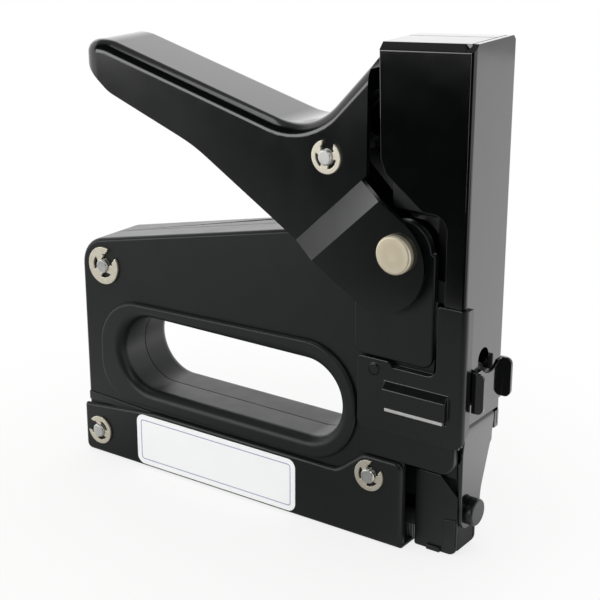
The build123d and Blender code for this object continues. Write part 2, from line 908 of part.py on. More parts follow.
# E-shaped spring clip: a ring with three inner teeth, open towards the given angle.
def e_clip(place, seat, radius, pin, side, opening):
    ring = Circle(radius) - Circle(pin + (radius - pin) * clip_ring_share)
    for angle in clip_tooth_angles:
        reach = radius * clip_tooth_share
        ring += Rot(0, 0, angle) * Pos(reach / 2, 0) * Rectangle(reach, radius * clip_tooth_width)
    ring -= Circle(pin - groove_depth + run_gap)
    ring -= Pos(radius, 0) * Rectangle(2 * radius, 2 * (pin - groove_depth))
    face = Pos(*place) * Rot(0, 0, opening) * ring
    return side_slab(face, seat + run_gap, seat + run_gap + clip_sheet, side)


def pivot_pin():
    place = (pivot_x, pivot_z)
    end = arm_half + clip_sheet + pin_stand
    pin = bar_y(place, pivot_radius, -arm_half - pivot_head_height, end)
    head_outer = -arm_half - run_gap - pivot_head_height
    head = bar_y(place, pivot_head_radius, head_outer, -arm_half - run_gap)
    rim = head.edges().sort_by(Axis.Y)[0]
    pin += fillet(rim, pivot_head_round)
    groove = Pos(*place) * (Circle(pivot_radius + cut_past) - Circle(pivot_radius - groove_depth))
    return pin - slab(groove, arm_half, arm_half + clip_sheet + 2 * run_gap)


def grip_outline():
    front_z = underside(joggle_start_x) + (grip_front - joggle_start_x) * math.tan(math.radians(joggle_angle))
    return outline([
        (joggle_start_x, underside(joggle_start_x), 0),
        (grip_front, front_z, 0),
        (grip_front, roof_front[1] - roof_front_lip, 0),
        roof_front,
        roof_saddle,
        roof_rear,
        tip_top,
        tip_low,
        tip_under,
        (grip_bend[0], underside(grip_bend[0]), grip_bend[1]),
    ])


# Plan of the grip, drawn in by an inset: straight sides and a rounded rear end.
def grip_plan(inset):
    half = handle_half - inset
    rear = grip_rear + inset
    front = roof_front[0] + arm_radius
    corner = grip_plan_corner - inset
    sheet = outline([(rear, -half, corner), (front, -half, 0), (front, half, 0), (rear, half, corner)])
    return extrude(sheet, amount=roof_front[1] + cut_past)


# Grip drawn in by an inset, with its roof rounded over into the sides and the rear.
def grip_block(inset):
    face = offset(grip_outline(), -inset) if inset else grip_outline()
    half = handle_half - inset
    block = slab(face, -half, half) & grip_plan(inset)
    rim = []
    for roof in block.faces():
        if roof.normal_at().Z > upward_least:
            rim += [edge for edge in roof.edges() if on_rim_of_plan(edge.center(), inset)]
    return fillet(rim, grip_edge - inset)


# True for a place on the upright sides and rounded rear of the grip.
def on_rim_of_plan(place, inset):
    corner = grip_plan_corner - inset
    across = abs(place.Y) - (handle_half - grip_plan_corner)
    along = grip_rear + grip_plan_corner - place.X
    if along <= 0:
        return abs(across - corner) < run_gap
    if across <= 0:
        return abs(along - corner) < run_gap
    return math.hypot(across, along) > corner - 4 * run_gap


# Folded handle: an inverted channel to grip and two arms set outward to pass the tower.
def handle():
    whole = grip_block(0)
    room = grip_block(handle_sheet)
    drop = 3 * handle_sheet
    ahead = box_face(roof_saddle[0], 0, roof_front[0] + 2 * drop, roof_front[1])
    whole -= room
    whole -= Pos(drop, 0, 0) * room & slab(ahead, -handle_half, handle_half)
    inset = offset(grip_outline(), -handle_sheet)
    below = Pos(0, -drop) * inset + Pos(drop, -drop) * inset
    whole -= slab(below, -handle_inner, handle_inner) & grip_plan(handle_sheet)
    for side in (-1, 1):
        whole += joggle(side)
        whole += handle_arm(side)
    whole -= bar_y((pivot_x, pivot_z), pivot_radius + run_gap, -arm_half - cut_past, arm_half + cut_past)
    return whole - bar_y(handle_pin_place, pin_radius + run_gap, -arm_half, arm_half)


# Strip between the arm's two straight edges, used to trim the joggle.
def arm_strip(length):
    middle = Pos(*arm_center) * Rot(0, 0, -arm_angle)
    return middle * Pos(-length / 2, 0) * Rectangle(length, 2 * arm_radius)


def joggle_plane():
    turn = math.radians(joggle_angle)
    start = (joggle_start_x, 0, underside(joggle_start_x))
    return Plane(start, x_dir=(math.sin(turn), 0, -math.cos(turn)), z_dir=(math.cos(turn), 0, math.sin(turn)))


# Slanted sheet that carries the side of the grip out to the arm.
def joggle(side):
    section = make_face(Polyline(
        (0, side * handle_inner),
        (0, side * handle_half),
        (joggle_run, side * arm_half),
        (joggle_run, side * arm_inner),
        close=True,
    ))
    length = 4 * arm_radius
    slope = extrude(joggle_plane().offset(-arm_radius) * section, amount=length)
    return slope & slab(arm_strip(length), -arm_half - cut_past, arm_half + cut_past)


def handle_arm(side):
    length = 4 * arm_radius
    strip = arm_strip(length) + Pos(*arm_center) * Circle(arm_radius)
    sheet = side_slab(strip, arm_inner, arm_half, side)
    behind = joggle_plane().offset(-length) * Pos(joggle_run - length, 0) * Rectangle(2 * length, length)
    return sheet - extrude(behind, amount=3 * length)


# Lever inside the handle whose nose lifts the plunger.
def lifter_lever():
    pivot = (pivot_x, pivot_z)
    face = Pos(*pivot) * Circle(lifter_hub) + obround(pivot, handle_pin_place, lifter_arm)
    face += Pos(*handle_pin_place) * Circle(lifter_pin_boss)
    face += obround(pivot, lifter_tip, lifter_bar) + Pos(*lifter_tip) * Circle(lifter_nose)
    lever = slab(face, -lifter_half, lifter_half)
    lever -= bar_y(pivot, pivot_radius + run_gap, -lifter_half, lifter_half)
    return lever - bar_y(handle_pin_place, pin_radius + run_gap, -lifter_half, lifter_half)


# Folded rail that the staples ride on, with an end tab at the rear.
def magazine_rail():
    rail = slab(box_face(rail_rear, floor_z + fit_gap, rail_front, rail_top), -rail_half, rail_half)
    inner_half = rail_half - rail_sheet
    hollow = box_face(rail_rear + rail_sheet, 0, rail_front + cut_past, rail_top - rail_sheet)
    rail -= slab(hollow, -inner_half, inner_half)
    slot_rear = strip_rear - pusher_length - pusher_travel
    slot = box_face(slot_rear - slot_spare, 0, strip_rear, rail_top + cut_past)
    slot_half = tongue_half + move_gap
    rail -= slab(slot, -slot_half, slot_half)
    tab = box_face(rail_rear, floor_z + fit_gap, rail_rear + rail_sheet, pusher_top)
    return rail + slab(tab, -staple_half, staple_half)


def staple_strip():
    outer = slab(box_face(strip_rear, floor_z + fit_gap, rail_front, staple_top), -staple_half, staple_half)
    inner = box_face(strip_rear - cut_past, 0, rail_front + cut_past, staple_top - staple_wire)
    return outer - slab(inner, -staple_inner, staple_inner)


# Saddle that follows the staples, with a tongue through the rail's slot to the spring.
def staple_pusher():
    front = strip_rear - move_gap
    rear = front - pusher_length
    inner_half = rail_half + move_gap
    saddle = slab(box_face(rear, floor_z + fit_gap, front, pusher_top), -inner_half - pusher_sheet,
                  inner_half + pusher_sheet)
    saddle -= slab(box_face(rear - cut_past, 0, front + cut_past, pusher_inner_top), -inner_half, inner_half)
    tongue_face = box_face(rear + tongue_inset, floor_z + move_gap, front - tongue_inset, pusher_top)
    tongue = slab(tongue_face, -tongue_half, tongue_half)
    return saddle + tongue - bar_x(rear, front, rod_z, rod_radius + run_gap)


def pusher_rod():
    return bar_x(rail_rear + rail_sheet, rail_front - 2 * rail_sheet, rod_z, rod_radius)


def pusher_spring():
    start = rail_rear + rail_sheet + push_wire
    end = strip_rear - move_gap - pusher_length + tongue_inset - push_wire
    wound = coil(push_mean_radius, push_wire, push_turns, end - start, 2 * push_wire + move_gap)
    return Pos(start, 0, rod_z) * Rot(0, 90, 0) * wound


def clip_pair(place, seat, radius, opening):
    return [e_clip(place, seat, radius, pin_radius, side, opening) for side in (-1, 1)]


nodes = {
    "lower_channel": lower_channel(),
    "tower_cover": tower_cover(),
    "guide_frame": guide_frame(),
    "spring_cap": spring_cap(),
    "bumper": bumper(),
    "gate_hinge_pin": gate_hinge_pin(),
    "magazine_nose": magazine_nose(),
    "rear_upper_pin": clip_pin(rear_upper, body_half, pin_radius),
    "rear_lower_pin": clip_pin(rear_lower, channel_half, pin_radius),
    "front_lower_pin": clip_pin(front_lower, channel_half, pin_radius),
    "rear_upper_clips": Compound(clip_pair(rear_upper, body_half, large_clip_radius, rear_upper_turn)),
    "lower_clips": Compound(clip_pair(rear_lower, channel_half, clip_radius, rear_lower_turn)
                            + clip_pair(front_lower, channel_half, clip_radius, front_lower_turn)),
    "pivot_pin": pivot_pin(),
    "pivot_clip": e_clip((pivot_x, pivot_z), arm_half, large_clip_radius, pivot_radius, 1, pivot_clip_turn),
    "main_spring": main_spring(),
    "plunger": plunger(),
    "driver_blade": driver_blade(),
    "handle": handle(),
    "lifter_lever": lifter_lever(),
    "handle_pin": clip_pin(handle_pin_place, handle_half, pin_radius),
    "handle_clips": Compound(clip_pair(handle_pin_place, handle_half, clip_radius, handle_clip_turn)),
    "front_latch": front_latch(),
    "latch_stud": latch_stud(),
    "front_gate": front_gate(),
    "gate_knob": gate_knob(),
    "magazine_rail": magazine_rail(),
    "pusher_rod": pusher_rod(),
    "pusher_spring": pusher_spring(),
    "staple_strip": staple_strip(),
    "staple_pusher": staple_pusher(),
}
for name, side in (("right", -1), ("left", 1)):
    nodes[name + "_body_shell"] = body_shell(side)
    nodes[name + "_hand_ring"] = hand_ring(side)
    nodes[name + "_nose_plate"] = nose_plate(side)
    nodes[name + "_louvre_bar"] = louvre_bar(side)

os.makedirs("parts", exist_ok=True)
for name, shape in nodes.items():
    export_step(shape, f"parts/{name}.step")
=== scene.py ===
import bpy
import json
import math
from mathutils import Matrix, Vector


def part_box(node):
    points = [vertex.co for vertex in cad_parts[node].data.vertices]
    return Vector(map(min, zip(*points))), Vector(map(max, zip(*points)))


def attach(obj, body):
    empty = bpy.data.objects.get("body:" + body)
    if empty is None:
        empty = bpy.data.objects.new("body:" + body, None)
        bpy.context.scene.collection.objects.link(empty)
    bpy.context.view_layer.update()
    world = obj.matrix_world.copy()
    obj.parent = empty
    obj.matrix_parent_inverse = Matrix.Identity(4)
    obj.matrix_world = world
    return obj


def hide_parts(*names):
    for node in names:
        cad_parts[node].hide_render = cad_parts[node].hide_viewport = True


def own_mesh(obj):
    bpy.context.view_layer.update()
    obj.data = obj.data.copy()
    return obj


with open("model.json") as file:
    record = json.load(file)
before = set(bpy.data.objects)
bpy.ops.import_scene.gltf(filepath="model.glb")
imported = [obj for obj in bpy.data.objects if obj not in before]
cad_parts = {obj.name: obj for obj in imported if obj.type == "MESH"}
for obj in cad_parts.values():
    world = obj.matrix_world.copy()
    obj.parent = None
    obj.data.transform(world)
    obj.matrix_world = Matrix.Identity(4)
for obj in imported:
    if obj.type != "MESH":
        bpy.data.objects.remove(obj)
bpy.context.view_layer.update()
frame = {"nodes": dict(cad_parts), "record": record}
mm = 0.001
behaviour = frame["record"]["behaviour"]
bodyOf = {node: body for body, members in behaviour["bodies"].items() for node in members}
print("frame loaded:", len(frame["nodes"]), "nodes")


# materials

def toLinear(hexText):
    parts = [int(hexText[i:i + 2], 16) / 255 for i in (1, 3, 5)]
    flat = [c / 12.92 if c <= 0.04045 else ((c + 0.055) / 1.055) ** 2.4 for c in parts]
    return (*flat, 1.0)


# pattern scale for a feature of that many millimetres
def perMm(size):
    return 1 / (size * mm)


# a wave texture runs through 20 radians for each unit of its scale
wavesPerScale = 20 / (2 * math.pi)


def addNode(tree, kind, settings=None, values=None, links=None):
    node = tree.nodes.new(kind)
    for name, value in (settings or {}).items():
        setattr(node, name, value)
    for socket, value in (values or {}).items():
        node.inputs[socket].default_value = value
    for socket, source in (links or {}).items():
        tree.links.new(source, node.inputs[socket])
    return node


def startMaterial(name, shaderValues):
    material = bpy.data.materials.new(name)
    material.use_nodes = True
    tree = material.node_tree
    shader = tree.nodes["Principled BSDF"]
    for socket, value in shaderValues.items():
        shader.inputs[socket].default_value = value
    place = addNode(tree, "ShaderNodeTexCoord").outputs["Object"]
    return material, tree, shader, place


# colour, roughness and relief of a surface, each led by a pattern: the first value of a look is where that is lowest
def wireSurface(tree, shader, look, tintBy, roughBy, reliefBy=None):
    tint = addNode(tree, "ShaderNodeMix", {"data_type": "RGBA"}, links={"Factor": tintBy})
    for socket, colour in zip("AB", look["tint"]):
        tint.inputs[socket].default_value = toLinear(colour)
    tree.links.new(tint.outputs["Result"], shader.inputs["Base Color"])
    low, high = look["rough"]
    rough = addNode(tree, "ShaderNodeMapRange", values={"To Min": low, "To Max": high}, links={"Value": roughBy})
    tree.links.new(rough.outputs["Result"], shader.inputs["Roughness"])
    if reliefBy:
        bump = addNode(tree, "ShaderNodeBump", values={"Strength": look["bump"], "Distance": look["height"] * mm},
                       links={"Height": reliefBy})
        tree.links.new(bump.outputs["Normal"], shader.inputs["Normal"])


# paint over sheet steel: colour drifts a little, roughness carries handling haze, the surface has a fine peel
def paintMaterial(name, paint):
    material, tree, shader, place = startMaterial(name, {"IOR": paint["ior"]})
    drift, haze, peel = (
        addNode(tree, "ShaderNodeTexNoise", values={"Scale": perMm(paint[pattern]), "Detail": detail},
                links={"Vector": place}).outputs["Fac"]
        for pattern, detail in (("drift", 4.0), ("haze", 6.0), ("peel", 2.0)))
    wireSurface(tree, shader, paint, drift, haze, peel)
    return material


# metal with fine lines along one axis from rolling, drawing or tumbling, and a mottled polish
def metalMaterial(name, metal):
    material, tree, shader, place = startMaterial(name, {"Metallic": 1.0})
    stretch = addNode(tree, "ShaderNodeMapping", values={"Scale": metal["stretch"]}, links={"Vector": place})
    lines = addNode(tree, "ShaderNodeTexNoise", values={"Scale": perMm(metal["line"]), "Detail": 3.0},
                    links={"Vector": stretch.outputs["Vector"]}).outputs["Fac"]
    mottle = addNode(tree, "ShaderNodeTexNoise", values={"Scale": perMm(metal["mottle"]), "Detail": 5.0},
                     links={"Vector": place}).outputs["Fac"]
    wireSurface(tree, shader, metal, mottle, mottle, lines)
    return material


# baked gloss enamel on pressed steel: deep black, mirror-like, faint orange peel
glossEnamel = paintMaterial("bakedGlossEnamel", {
    "tint": ("#020303", "#040505"), "rough": (0.05, 0.13), "ior": 1.7, "drift": 30, "haze": 9,
    "peel": 1.6, "bump": 0.05, "height": 0.02})
# the same enamel on the handle, hazed by hands: its highlights spread a little
softGlossEnamel = paintMaterial("handledGlossEnamel", {
    "tint": ("#030505", "#060908"), "rough": (0.1, 0.2), "ior": 1.65, "drift": 30, "haze": 14,
    "peel": 1.6, "bump": 0.05, "height": 0.02})
# semi-gloss enamel on the nose plates: black with a tight soft sheen
semiGlossEnamel = paintMaterial("bakedSemiGlossEnamel", {
    "tint": ("#0a0d0c", "#101312"), "rough": (0.18, 0.26), "ior": 1.55, "drift": 20, "haze": 8,
    "peel": 0.8, "bump": 0.08, "height": 0.015})
# baked satin enamel on pressed steel: charcoal with a soft sheen and a fine grain
satinEnamel = paintMaterial("bakedSatinEnamel", {
    "tint": ("#0b0f0e", "#101413"), "rough": (0.30, 0.42), "ior": 1.5, "drift": 24, "haze": 12,
    "peel": 0.35, "bump": 0.12, "height": 0.012})
# injection-moulded glass-filled nylon: even dark grey, matt, with a spark-eroded texture
mouldedNylon = paintMaterial("mouldedNylon", {
    "tint": ("#0c100f", "#121615"), "rough": (0.36, 0.48), "ior": 1.5, "drift": 18, "haze": 6,
    "peel": 0.45, "bump": 0.2, "height": 0.02})
# moulded rubber: dull black with a light bloom
bumperRubber = paintMaterial("mouldedRubber", {
    "tint": ("#121212", "#1e1e1d"), "rough": (0.6, 0.8), "ior": 1.52, "drift": 6, "haze": 3,
    "peel": 0.5, "bump": 0.2, "height": 0.03})
# tumbled nickel plate on stamped steel: warm cream metal, soft lustre
nickelPlate = metalMaterial("tumbledNickelPlate", {
    "tint": ("#e6dfca", "#f8f3e4"), "rough": (0.4, 0.56), "line": 0.4, "stretch": (1, 1, 1), "mottle": 2.5,
    "bump": 0.2, "height": 0.01})
# bright nickel on the pins' turned ends: cooler and shinier than the clips
pinNickel = metalMaterial("brightNickelPlate", {
    "tint": ("#dcdcd8", "#f4f4f1"), "rough": (0.24, 0.4), "line": 0.3, "stretch": (1, 1, 1), "mottle": 2,
    "bump": 0.15, "height": 0.01})
# drawn and polished spring steel: bright, with draw lines along the wire
springSteel = metalMaterial("drawnSpringSteel", {
    "tint": ("#c9cbcc", "#eff0f0"), "rough": (0.16, 0.3), "line": 0.25, "stretch": (1, 1, 4), "mottle": 4,
    "bump": 0.15, "height": 0.01})
# cold-rolled steel left oiled: mid grey with rolling lines along its length
rolledSteel = metalMaterial("coldRolledSteel", {
    "tint": ("#8d8f90", "#b4b6b6"), "rough": (0.32, 0.5), "line": 0.2, "stretch": (0.15, 1, 1), "mottle": 9,
    "bump": 0.2, "height": 0.012})
# ground and tumbled steel of the louvre bars: near white, with a dull even glow
brightBar = metalMaterial("tumbledBrightSteel", {
    "tint": ("#f0f0ee", "#fcfcfb"), "rough": (0.5, 0.65), "line": 0.3, "stretch": (0.2, 1, 1), "mottle": 3,
    "bump": 0.15, "height": 0.01})
# hardened steel blackened in oil: a dark grey oxide with a dull oily sheen
blackenedSteel = metalMaterial("oilBlackenedSteel", {
    "tint": ("#1d1e1f", "#2a2b2c"), "rough": (0.38, 0.55), "line": 0.3, "stretch": (1, 1, 1), "mottle": 5,
    "bump": 0.15, "height": 0.01})


# turned nickel on the pivot's head: the nickel plate with lathe rings round the pin's axis
def turnedNickel(turned):
    material, tree, shader, place = startMaterial("turnedNickelPlate", {"Metallic": 1.0})
    low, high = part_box("pivot_pin")
    centre = (low + high) / 2
    centred = addNode(tree, "ShaderNodeMapping", {"vector_type": "POINT"},
                      {"Location": (-centre.x, 0, -centre.z)}, {"Vector": place})
    rings = addNode(tree, "ShaderNodeTexWave", {"wave_type": "RINGS", "rings_direction": "Y"},
                    {"Scale": perMm(turned["ring"]) / wavesPerScale, "Distortion": 0.6, "Detail": 2.0},
                    {"Vector": centred.outputs["Vector"]}).outputs["Fac"]
    mottle = addNode(tree, "ShaderNodeTexNoise", values={"Scale": perMm(turned["mottle"])},
                     links={"Vector": place}).outputs["Fac"]
    wireSurface(tree, shader, turned, mottle, rings, rings)
    return material


# the rings are drawn far coarser than a lathe's feed, so that they show
pinHeadNickel = turnedNickel({"tint": ("#f2e6ca", "#fdf5e0"), "rough": (0.52, 0.68), "ring": 5.655, "mottle": 3,
                              "bump": 0.3, "height": 0.02})


# galvanised staple wire: glued wires side by side, each a ridge across the stick, polished on its crown; its colour
# carries painted shade in the grooves between the wires and a painted highlight on each crown
def stapleMaterial(wire):
    material, tree, shader, place = startMaterial("galvanisedWire", {"Metallic": 1.0})
    ridges = addNode(tree, "ShaderNodeTexWave", {"wave_type": "BANDS", "bands_direction": "X"},
                     {"Scale": perMm(wire["pitch"]) / wavesPerScale}, {"Vector": place}).outputs["Fac"]
    wireSurface(tree, shader, wire, ridges, ridges, ridges)
    return material


# the tint runs from painted shade in the grooves to a painted highlight on the crowns
galvanisedWire = stapleMaterial({"tint": ("#6f7274", "#c6c9cb"), "rough": (0.5, 0.25), "pitch": 0.65,
                                 "bump": 0.6, "height": 0.1625})
print("materials made")


# mesh tools: lengths in mm, angles in degrees
meshWork = {"merge": 0.002, "flat": 0.3, "sharp": 40, "smooth": 32, "normalWeight": 80, "foldSteps": 2,
            "coilSmooth": 50}


def selectOnly(piece):
    bpy.ops.object.select_all(action="DESELECT")
    piece.select_set(True)
    bpy.context.view_layer.objects.active = piece


def applyModifier(piece, kind, settings):
    modifier = piece.modifiers.new(kind.title(), kind)
    for name, value in settings.items():
        setattr(modifier, name, value)
    selectOnly(piece)
    bpy.ops.object.modifier_apply(modifier=modifier.name)


# eases by that many millimetres the folds of a piece that are sharper than that angle, where they are wanted
def easeFolds(piece, edge, crease, wanted, clamp):
    selectOnly(piece)
    bpy.ops.object.mode_set(mode="EDIT")
    bpy.ops.mesh.select_mode(type="EDGE")
    bpy.ops.mesh.select_all(action="DESELECT")
    bpy.ops.mesh.edges_select_sharp(sharpness=math.radians(crease))
    bpy.ops.object.mode_set(mode="OBJECT")
    # a face left selected would select its edges again
    for face in piece.data.polygons:
        face.select = False
    for fold in piece.data.edges:
        start, end = (piece.data.vertices[i].co / mm for i in fold.vertices)
        fold.select = fold.select and wanted((start + end) / 2, (end - start).length)
    bpy.ops.object.mode_set(mode="EDIT")
    bpy.ops.mesh.bevel(offset=edge * mm, segments=meshWork["foldSteps"], affect="EDGES", clamp_overlap=clamp,
                       loop_slide=False)
    bpy.ops.object.mode_set(mode="OBJECT")


# a copy of a CAD node with its loose triangles merged
def mergedCopy(node, pieceName):
    piece = bpy.data.objects.new(pieceName, frame["nodes"][node].data.copy())
    bpy.context.scene.collection.objects.link(piece)
    selectOnly(piece)
    bpy.ops.object.mode_set(mode="EDIT")
    bpy.ops.mesh.select_all(action="SELECT")
    bpy.ops.mesh.remove_doubles(threshold=meshWork["merge"] * mm)
    bpy.ops.object.mode_set(mode="OBJECT")
    if piece.data.has_custom_normals:
        bpy.ops.mesh.customdata_custom_splitnormals_clear()
    return piece


# the piece takes that finish and stands for its node
def standFor(piece, node, finish):
    piece.data.materials.clear()
    piece.data.materials.append(finish)
    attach(piece, bodyOf[node])
    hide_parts(node)


# where folds are eased, in mm: the small or hidden corners outside these limits stay as they are
foldLimits = {"towerLow": 56, "crownLow": 162, "towerFront": 86, "crownLength": 20, "crownSide": 8,
              "shellRear": -60, "shellLow": 24, "stripRear": 89, "stripTop": 62}


def everyFold(middle, length):
    return True


# the tower's folds at its open rear and the long folds of its crown
def towerFolds(middle, length):
    atRear = foldLimits["towerLow"] < middle.z < foldLimits["crownLow"] and middle.x < foldLimits["towerFront"]
    onCrown = middle.z > foldLimits["crownLow"] and abs(middle.y) > foldLimits["crownSide"]
    return atRear or onCrown and length > foldLimits["crownLength"]


# the shells' folds apart from the rear end that the channel hides
def shellFolds(middle, length):
    return middle.x > foldLimits["shellRear"] or middle.z > foldLimits["shellLow"]


# the nose plates' folds apart from the small corner at the strip's top
def plateFolds(middle, length):
    return middle.x < foldLimits["stripRear"] or middle.z < foldLimits["stripTop"]


# a merged copy of a CAD node with its folds eased
def easedCopy(node, edge, finish, crease=meshWork["sharp"], wanted=everyFold, clamp=False):
    piece = mergedCopy(node, node + "_eased")
    bpy.ops.object.mode_set(mode="EDIT")
    bpy.ops.mesh.select_all(action="SELECT")
    bpy.ops.mesh.dissolve_limited(angle_limit=math.radians(meshWork["flat"]))
    bpy.ops.object.mode_set(mode="OBJECT")
    easeFolds(piece, edge, crease, wanted, clamp)
    bpy.ops.object.shade_smooth_by_angle(angle=math.radians(meshWork["smooth"]))
    applyModifier(piece, "WEIGHTED_NORMAL", {"keep_sharp": True, "weight": meshWork["normalWeight"]})
    standFor(piece, node, finish)


# outer sheet metal and mouldings: eased edge in mm, finish and, where they differ, angle, folds and clamping
outerSkins = {
    "handle": {"edge": 0.4, "finish": softGlossEnamel, "crease": 15.5, "clamp": True},
    "tower_cover": {"edge": 0.3, "finish": glossEnamel, "wanted": towerFolds},
    "left_body_shell": {"edge": 0.35, "finish": satinEnamel, "wanted": shellFolds},
    "right_body_shell": {"edge": 0.35, "finish": satinEnamel, "wanted": shellFolds},
    "lower_channel": {"edge": 0.35, "finish": satinEnamel},
    "magazine_nose": {"edge": 0.4, "finish": satinEnamel},
    "left_nose_plate": {"edge": 0.4, "finish": semiGlossEnamel, "wanted": plateFolds},
    "right_nose_plate": {"edge": 0.4, "finish": semiGlossEnamel, "wanted": plateFolds},
    "front_latch": {"edge": 0.25, "finish": glossEnamel, "clamp": True},
    "front_gate": {"edge": 0.3, "finish": glossEnamel},
    "gate_knob": {"edge": 0.2, "finish": satinEnamel},
    "left_hand_ring": {"edge": 0.25, "finish": mouldedNylon},
    "right_hand_ring": {"edge": 0.25, "finish": mouldedNylon}}
# fasteners and bars
brightWork = {
    "rear_upper_clips": {"edge": 0.25, "finish": nickelPlate},
    "lower_clips": {"edge": 0.25, "finish": nickelPlate},
    "handle_clips": {"edge": 0.25, "finish": nickelPlate},
    "pivot_clip": {"edge": 0.25, "finish": nickelPlate},
    "rear_upper_pin": {"edge": 0.15, "finish": pinNickel},
    "rear_lower_pin": {"edge": 0.15, "finish": pinNickel},
    "front_lower_pin": {"edge": 0.15, "finish": pinNickel},
    "handle_pin": {"edge": 0.15, "finish": pinNickel},
    "pivot_pin": {"edge": 0.2, "finish": pinHeadNickel},
    "left_louvre_bar": {"edge": 0.2, "finish": brightBar},
    "right_louvre_bar": {"edge": 0.2, "finish": brightBar}}
for node, ease in {**outerSkins, **brightWork}.items():
    easedCopy(node, **ease)
print("skins and fasteners eased")

# works inside keep their CAD shape and take a finish
innerWorks = {
    "guide_frame": satinEnamel, "spring_cap": rolledSteel, "plunger": blackenedSteel,
    "lifter_lever": blackenedSteel, "latch_stud": rolledSteel, "gate_hinge_pin": rolledSteel,
    "magazine_rail": rolledSteel, "pusher_rod": springSteel, "staple_pusher": rolledSteel,
    "driver_blade": blackenedSteel, "staple_strip": galvanisedWire, "bumper": bumperRubber}
for node, finish in innerWorks.items():
    slots = frame["nodes"][node].material_slots
    if not slots:
        frame["nodes"][node].data.materials.append(finish)
    for slot in slots:
        slot.material = finish
print("inner works finished")


# a smooth-shaded copy of a spring's CAD node in spring steel, standing for that node
def addSpring(spring):
    node, axis = spring["node"], spring["mode"][-1]
    piece = mergedCopy(node, node + "_coil")
    bpy.ops.object.shade_smooth_by_angle(angle=math.radians(meshWork["coilSmooth"]))
    standFor(piece, node, springSteel)
    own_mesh(piece)


for joint in behaviour["joints"]:
    for spring in joint.get("deforming_nodes", []):
        addSpring(spring)
print("springs added")


# blank vinyl label on the channel's right side, with a printed frame line: sizes in mm
label = {"rear": -44, "front": 28, "low": 1.2, "high": 21.0, "thick": 0.12, "corner": 3.2, "cornerSteps": 8,
         "lineInset": 1.9, "lineWidth": 0.4, "drift": 14,
         "vinyl": {"tint": ("#f4f5f5", "#fafbfb"), "rough": (0.3, 0.42)},
         "ink": {"tint": ("#9ca0c0", "#a0a4c4"), "rough": (0.3, 0.42)}}


# printed vinyl film: white or inked, smooth, with a slight unevenness in its gloss
def labelMaterial(name, film):
    material, tree, shader, place = startMaterial(name, {"IOR": 1.46})
    drift = addNode(tree, "ShaderNodeTexNoise", values={"Scale": perMm(label["drift"]), "Detail": 3.0},
                    links={"Vector": place}).outputs["Fac"]
    wireSurface(tree, shader, film, drift, drift)
    return material


# how far a point lies inside the label's rounded rim
def rimGap(point, middle, label):
    halfLong = (label["front"] - label["rear"]) / 2 * mm
    halfHigh = (label["high"] - label["low"]) / 2 * mm
    corner = label["corner"] * mm
    acrossX = abs(point.x - middle[0]) - (halfLong - corner)
    acrossZ = abs(point.z - middle[2]) - (halfHigh - corner)
    if acrossX > 0 and acrossZ > 0:
        return corner - math.hypot(acrossX, acrossZ)
    return corner - max(acrossX, acrossZ)


def addLabel(label):
    low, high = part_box("lower_channel")
    bpy.ops.object.select_all(action="DESELECT")
    middle = ((label["rear"] + label["front"]) / 2 * mm, low.y, (label["low"] + label["high"]) / 2 * mm)
    bpy.ops.mesh.primitive_plane_add(size=1, location=middle, rotation=(math.pi / 2, 0, 0))
    sheet = bpy.context.object
    sheet.name = "channel_label"
    sheet.scale = ((label["front"] - label["rear"]) * mm, (label["high"] - label["low"]) * mm, 1)
    bpy.ops.object.transform_apply(location=True, rotation=True, scale=True)
    sheet.data.materials.append(labelMaterial("printedVinyl", label["vinyl"]))
    sheet.data.materials.append(labelMaterial("printedVinylInk", label["ink"]))
    bpy.ops.object.mode_set(mode="EDIT")
    bpy.ops.mesh.select_all(action="SELECT")
    bpy.ops.mesh.bevel(offset=label["corner"] * mm, segments=label["cornerSteps"], affect="VERTICES")
    bpy.ops.mesh.select_all(action="SELECT")
    bpy.ops.mesh.inset(thickness=label["lineInset"] * mm)
    bpy.ops.mesh.inset(thickness=label["lineWidth"] * mm)
    bpy.ops.object.mode_set(mode="OBJECT")
    # the faces between the two insets carry the ink
    for face in sheet.data.polygons:
        if len(face.vertices) == 4:
            nearest = min(rimGap(sheet.data.vertices[i].co, middle, label) for i in face.vertices)
            face.material_index = 1 if nearest > label["lineInset"] / 2 * mm else 0
    applyModifier(sheet, "SOLIDIFY", {"thickness": label["thick"] * mm, "offset": 1})
    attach(sheet, "frame")


addLabel(label)
print("label added")

# small pressed and moulded forms: two corners in mm, height of the front end, rounding and finish
smallForms = {
    "right_shell_bead": {"low": (-68.4, -12.3, 20.5), "high": (-36, -11.2, 24.0), "frontHigh": 22.6, "round": 0.45,
                         "finish": satinEnamel},
    "left_shell_bead": {"low": (-68.4, 11.2, 20.5), "high": (-36, 12.3, 24.0), "frontHigh": 22.6, "round": 0.45,
                        "finish": satinEnamel},
    "nose_front_pad": {"low": (83.3, -6.95, 3.2), "high": (87.5, -5.9, 12.4), "frontHigh": 13.4, "round": 0.25,
                       "finish": satinEnamel},
    "nose_foot_tab": {"low": (77.1, -7.4, 0.05), "high": (82.2, -5.9, 1.9), "frontHigh": 1.9, "round": 0.3,
                      "finish": satinEnamel},
    "tower_front_return": {"low": (90.7, 9.9, 41.2), "high": (91.5, 12.7, 47.2), "frontHigh": 47.2, "round": 0.2,
                           "finish": glossEnamel}}
roundSteps = 4


